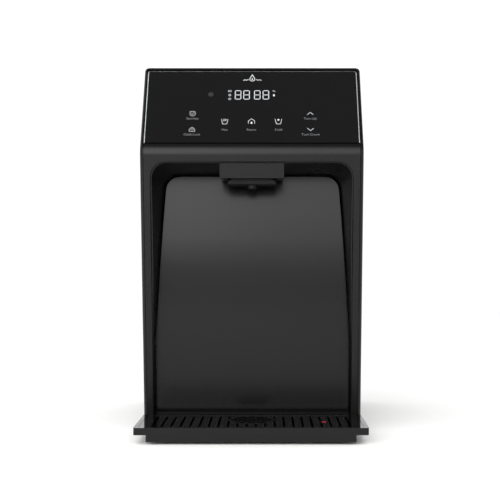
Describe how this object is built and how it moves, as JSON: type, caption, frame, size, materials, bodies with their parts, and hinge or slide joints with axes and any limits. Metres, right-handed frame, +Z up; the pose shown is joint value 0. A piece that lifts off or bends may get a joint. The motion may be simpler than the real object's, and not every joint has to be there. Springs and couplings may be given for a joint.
{
  "type": "countertop water dispenser",
  "caption": "Countertop hot and cold water dispenser with a slanted glass touch panel, an open dispensing alcove and a pull-out drip tray.",
  "frame": {"origin": "on the ground under the middle of the whole object's box, feet on z = 0", "axes": "+X to the right seen from the front, the front with the drip tray faces -Y, +Z up"},
  "size_m": [0.26, 0.38, 0.436],
  "materials": {
    "satin_black": "satin moulded ABS",
    "panel_black": "semi-gloss moulded ABS",
    "tray_black": "gloss moulded ABS",
    "glass_black": "back-painted tempered glass",
    "board": "solder mask on glass epoxy",
    "display": "moulded light frame",
    "rubber": "moulded rubber",
    "silicone": "food-grade silicone",
    "enamel": "black powder coat",
    "steel": "stainless sheet",
    "copper": "drawn copper tube",
    "brass": "turned brass",
    "foam": "moulded polystyrene foam",
    "natural": "natural polypropylene",
    "red": "red moulded plastic",
    "green": "green moulded plastic"
  },
  "bodies": {
    "cabinet": {"front_bezel": "satin_black", "alcove_liner": "satin_black", "splash_panel": "panel_black", "left_side_cover": "satin_black", "right_side_cover": "satin_black", "top_cover": "satin_black", "rear_cover": "satin_black", "base_pan": "enamel", "control_glass": "glass_black", "panel_carrier": "satin_black", "touch_board": "board", "display_module": "display", "nozzle_cover": "satin_black", "nozzle_lip": "satin_black", "outlet_nozzle": "rubber", "uv_lamp": "display", "foot_front_left": "rubber", "foot_front_right": "rubber", "foot_rear_left": "rubber", "foot_rear_right": "rubber", "wall_spacer_left": "rubber", "wall_spacer_right": "rubber", "compressor": "enamel", "compressor_mount": "rubber", "condenser_coil": "copper", "fan_shroud": "satin_black", "filter_drier": "copper", "cold_tank": "steel", "cold_tank_lid": "natural", "evaporator_coil": "copper", "cold_jacket_left": "foam", "cold_jacket_right": "foam", "hot_tank": "steel", "band_heater": "steel", "hot_jacket": "foam", "thermostat": "natural", "hot_valve": "natural", "room_valve": "natural", "cold_valve": "natural", "water_manifold": "natural", "hot_hose": "silicone", "cold_hose": "silicone", "room_hose": "silicone", "inlet_valve": "natural", "water_inlet": "brass", "hot_drain_spout": "natural", "cold_drain_spout": "natural", "board_shelf": "steel", "power_board": "board", "power_inlet": "satin_black", "heat_switch_body": "satin_black", "cool_switch_body": "satin_black"},
    "tray": {"drip_tray": "tray_black"},
    "grille": {"drip_grille": "tray_black"},
    "float": {"float_indicator": "red"},
    "fan": {"fan_rotor": "satin_black"},
    "heat_key": {"heat_rocker": "red"},
    "cool_key": {"cool_rocker": "green"},
    "hot_cap": {"hot_drain_cap": "satin_black"},
    "cold_cap": {"cold_drain_cap": "satin_black"}
  },
  "joints": [
    {"name": "tray_pull", "type": "slide", "parent": "cabinet", "child": "tray", "axis": [0, -1, 0], "range_m": [0, 0.14]},
    {"name": "grille_lift", "type": "slide", "parent": "tray", "child": "grille", "axis": [0, 0, 1], "range_m": [0, 0.03]},
    {"name": "float_rise", "type": "slide", "parent": "tray", "child": "float", "axis": [0, 0, 1], "range_m": [0, 0.005]},
    {"name": "fan_spin", "type": "hinge", "parent": "cabinet", "child": "fan", "pos_m": [0.058, 0.161, 0.1], "axis": [0, 1, 0], "continuous": true},
    {"name": "heat_switch", "type": "hinge", "parent": "cabinet", "child": "heat_key", "pos_m": [-0.1, 0.178, 0.096], "axis": [1, 0, 0], "range_deg": [-16, 0]},
    {"name": "cool_switch", "type": "hinge", "parent": "cabinet", "child": "cool_key", "pos_m": [-0.078, 0.178, 0.096], "axis": [1, 0, 0], "range_deg": [-16, 0]},
    {"name": "hot_cap_turn", "type": "hinge", "parent": "cabinet", "child": "hot_cap", "pos_m": [-0.014, 0.184, 0.034], "axis": [0, 1, 0], "range_deg": [0, 360]},
    {"name": "cold_cap_turn", "type": "hinge", "parent": "cabinet", "child": "cold_cap", "pos_m": [0.014, 0.184, 0.034], "axis": [0, 1, 0], "range_deg": [0, 360]}
  ]
}
